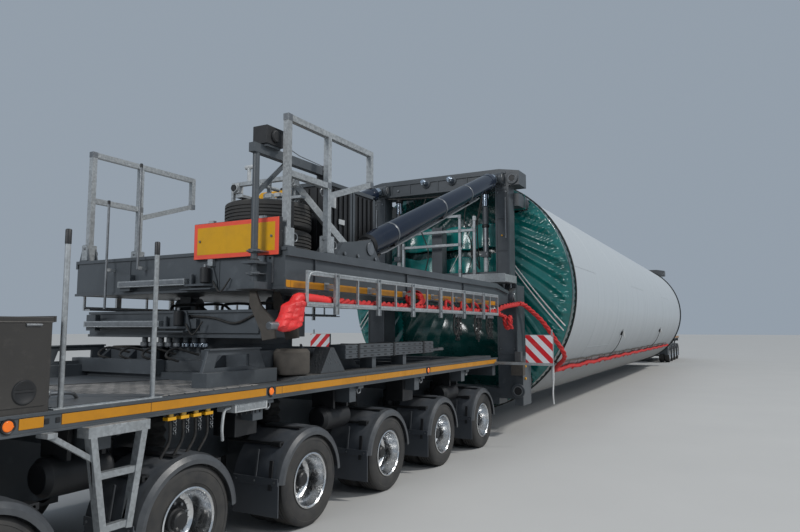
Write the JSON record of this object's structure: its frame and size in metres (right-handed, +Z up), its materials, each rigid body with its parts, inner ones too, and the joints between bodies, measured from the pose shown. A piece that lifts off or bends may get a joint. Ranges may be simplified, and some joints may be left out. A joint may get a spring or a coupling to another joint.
{
  "type": "wind turbine tower section on lifting transport adapters with multi-axle bogies",
  "caption": "Steel wind turbine tower section with sheeted ends, held at both flanges by lifting masts on turntable bogies with twin-tyred axles.",
  "frame": {"origin": "on the ground, under the middle of the whole assembly", "axes": "+X is the travel direction along the tower section, +Y is to the left, +Z is up"},
  "size_m": [39.855, 4.42, 4.5762],
  "materials": {
    "tower_paint": "light grey two-part tower paint, semi-gloss",
    "cover_sheet": "glossy coated green tarpaulin, gathered and creased",
    "adapter_grey": "dark grey chassis paint, slightly dusty",
    "galvanised": "hot-dip galvanised steel with dull spangle",
    "rubber": "black tyre rubber, greyed by dust",
    "guard_plastic": "dark blue-grey moulded plastic",
    "cylinder_paint": "glossy navy-black paint",
    "chrome": "hard chrome piston rod and bright screws",
    "red_hose": "red spiral-wrapped hose bundle",
    "yellow_paint": "yellow painted sheet",
    "marker_foil": "red and white reflective foil on a plate"
  },
  "bodies": {
    "load": {"tower_shell": "tower_paint", "rear_cover": "cover_sheet", "front_cover": "cover_sheet", "rear_mast": "adapter_grey", "front_mast": "adapter_grey", "mast_column_right": "chrome", "mast_column_left": "chrome", "standing_places": "galvanised", "tower_line": "red_hose"},
    "rear_platform": {"rear_platform": "adapter_grey", "handrail_right": "galvanised", "handrail_left": "galvanised", "spare_tyres": "rubber", "spare_tyre_clamp": "galvanised", "power_pack": "yellow_paint", "cabinet_back": "adapter_grey", "cabinet_front": "adapter_grey", "side_rack_right": "galvanised", "side_rack_left": "galvanised", "sign_board": "yellow_paint", "light_bar": "galvanised", "rack_hose": "red_hose"},
    "davit": {"davit": "adapter_grey"},
    "rear_bolster": {"rear_bolster": "adapter_grey"},
    "rear_bogie": {"rear_chassis": "adapter_grey", "rear_deck": "galvanised", "rear_turntable_base": "adapter_grey", "rear_mudguards_right": "guard_plastic", "rear_mudguards_left": "guard_plastic", "toolbox": "adapter_grey", "ladder": "galvanised", "stanchions": "galvanised", "plank_stack": "galvanised"},
    "marker_right": {"marker_right": "marker_foil"},
    "marker_left": {"marker_left": "marker_foil"},
    "front_platform": {"front_platform": "adapter_grey"},
    "front_bolster": {"front_bolster": "adapter_grey"},
    "front_bogie": {"front_chassis": "adapter_grey", "front_turntable_base": "adapter_grey"},
    "rear_lift_barrels": {"rear_lift_barrel_right": "cylinder_paint", "rear_lift_barrel_left": "cylinder_paint"},
    "rear_lift_rods": {"rear_lift_rod_right": "chrome", "rear_lift_rod_left": "chrome"},
    "rear_wheelset_1": {"rear_wheelset_1": "rubber"},
    "rear_wheelset_2": {"rear_wheelset_2": "rubber"},
    "rear_wheelset_3": {"rear_wheelset_3": "rubber"},
    "rear_wheelset_4": {"rear_wheelset_4": "rubber"},
    "rear_wheelset_5": {"rear_wheelset_5": "rubber"},
    "rear_wheelset_6": {"rear_wheelset_6": "rubber"},
    "front_lift_barrels": {"front_lift_barrel_right": "cylinder_paint", "front_lift_barrel_left": "cylinder_paint"},
    "front_lift_rods": {"front_lift_rod_right": "chrome", "front_lift_rod_left": "chrome"},
    "front_wheelset_1": {"front_wheelset_1": "rubber"},
    "front_wheelset_2": {"front_wheelset_2": "rubber"},
    "front_wheelset_3": {"front_wheelset_3": "rubber"},
    "front_wheelset_4": {"front_wheelset_4": "rubber"}
  },
  "joints": [
    {"name": "rear_lift", "type": "hinge", "parent": "load", "child": "rear_platform", "pos_m": [-10.4275, 0, 2.25], "axis": [0, -1, 0], "range_deg": [0, 6]},
    {"name": "rear_barrel_tilt", "type": "hinge", "parent": "rear_platform", "child": "rear_lift_barrels", "pos_m": [-14.7075, 0, 2.585], "axis": [0, -1, 0], "range_deg": [-1.59, 0.5]},
    {"name": "rear_rod_slide", "type": "slide", "parent": "rear_lift_barrels", "child": "rear_lift_rods", "axis": [0.9319, 0, 0.3627], "range_m": [0, 0.201]},
    {"name": "rear_pitch", "type": "hinge", "parent": "rear_platform", "child": "rear_bolster", "pos_m": [-15.4075, 0, 2], "axis": [0, 1, 0], "range_deg": [-3, 6]},
    {"name": "rear_slew", "type": "hinge", "parent": "rear_bolster", "child": "rear_bogie", "pos_m": [-15.4075, 0, 1.585], "axis": [0, 0, 1], "range_deg": [-20, 20]},
    {"name": "rear_wheels_1", "type": "hinge", "parent": "rear_bogie", "child": "rear_wheelset_1", "pos_m": [-18.5775, 0, 0.395], "axis": [0, 1, 0], "continuous": true},
    {"name": "rear_wheels_2", "type": "hinge", "parent": "rear_bogie", "child": "rear_wheelset_2", "pos_m": [-17.1575, 0, 0.395], "axis": [0, 1, 0], "continuous": true},
    {"name": "rear_wheels_3", "type": "hinge", "parent": "rear_bogie", "child": "rear_wheelset_3", "pos_m": [-15.7375, 0, 0.395], "axis": [0, 1, 0], "continuous": true},
    {"name": "rear_wheels_4", "type": "hinge", "parent": "rear_bogie", "child": "rear_wheelset_4", "pos_m": [-14.3175, 0, 0.395], "axis": [0, 1, 0], "continuous": true},
    {"name": "rear_wheels_5", "type": "hinge", "parent": "rear_bogie", "child": "rear_wheelset_5", "pos_m": [-12.8975, 0, 0.395], "axis": [0, 1, 0], "continuous": true},
    {"name": "rear_wheels_6", "type": "hinge", "parent": "rear_bogie", "child": "rear_wheelset_6", "pos_m": [-11.4775, 0, 0.395], "axis": [0, 1, 0], "continuous": true},
    {"name": "front_lift", "type": "hinge", "parent": "load", "child": "front_platform", "pos_m": [12.0725, 0, 2.25], "axis": [0, 1, 0], "range_deg": [0, 6]},
    {"name": "front_barrel_tilt", "type": "hinge", "parent": "front_platform", "child": "front_lift_barrels", "pos_m": [16.3525, 0, 2.585], "axis": [0, 1, 0], "range_deg": [-1.59, 0.5]},
    {"name": "front_rod_slide", "type": "slide", "parent": "front_lift_barrels", "child": "front_lift_rods", "axis": [-0.9319, 0, 0.3627], "range_m": [0, 0.201]},
    {"name": "front_pitch", "type": "hinge", "parent": "front_platform", "child": "front_bolster", "pos_m": [17.0525, 0, 2], "axis": [0, -1, 0], "range_deg": [-3, 6]},
    {"name": "front_slew", "type": "hinge", "parent": "front_bolster", "child": "front_bogie", "pos_m": [17.0525, 0, 1.585], "axis": [0, 0, 1], "range_deg": [-20, 20]},
    {"name": "front_wheels_1", "type": "hinge", "parent": "front_bogie", "child": "front_wheelset_1", "pos_m": [19.1825, 0, 0.395], "axis": [0, 1, 0], "continuous": true},
    {"name": "front_wheels_2", "type": "hinge", "parent": "front_bogie", "child": "front_wheelset_2", "pos_m": [17.7625, 0, 0.395], "axis": [0, 1, 0], "continuous": true},
    {"name": "front_wheels_3", "type": "hinge", "parent": "front_bogie", "child": "front_wheelset_3", "pos_m": [16.3425, 0, 0.395], "axis": [0, 1, 0], "continuous": true},
    {"name": "front_wheels_4", "type": "hinge", "parent": "front_bogie", "child": "front_wheelset_4", "pos_m": [14.9225, 0, 0.395], "axis": [0, 1, 0], "continuous": true},
    {"name": "davit_swing", "type": "hinge", "parent": "rear_platform", "child": "davit", "pos_m": [-16.4175, -1.15, 2.9], "axis": [0, 0, 1], "range_deg": [0, 180]},
    {"name": "marker_slide_right", "type": "slide", "parent": "rear_bogie", "child": "marker_right", "axis": [0, 1, 0], "range_m": [0, 0.45]},
    {"name": "marker_slide_left", "type": "slide", "parent": "rear_bogie", "child": "marker_left", "axis": [0, -1, 0], "range_m": [0, 0.45]}
  ],
  "couplings": [
    {"joint": "rear_barrel_tilt", "follows": "rear_lift", "ratio": -0.1809},
    {"joint": "rear_rod_slide", "follows": "rear_lift", "m_per_rad": 1.8285},
    {"joint": "front_barrel_tilt", "follows": "front_lift", "ratio": -0.1809},
    {"joint": "front_rod_slide", "follows": "front_lift", "m_per_rad": 1.8285}
  ]
}
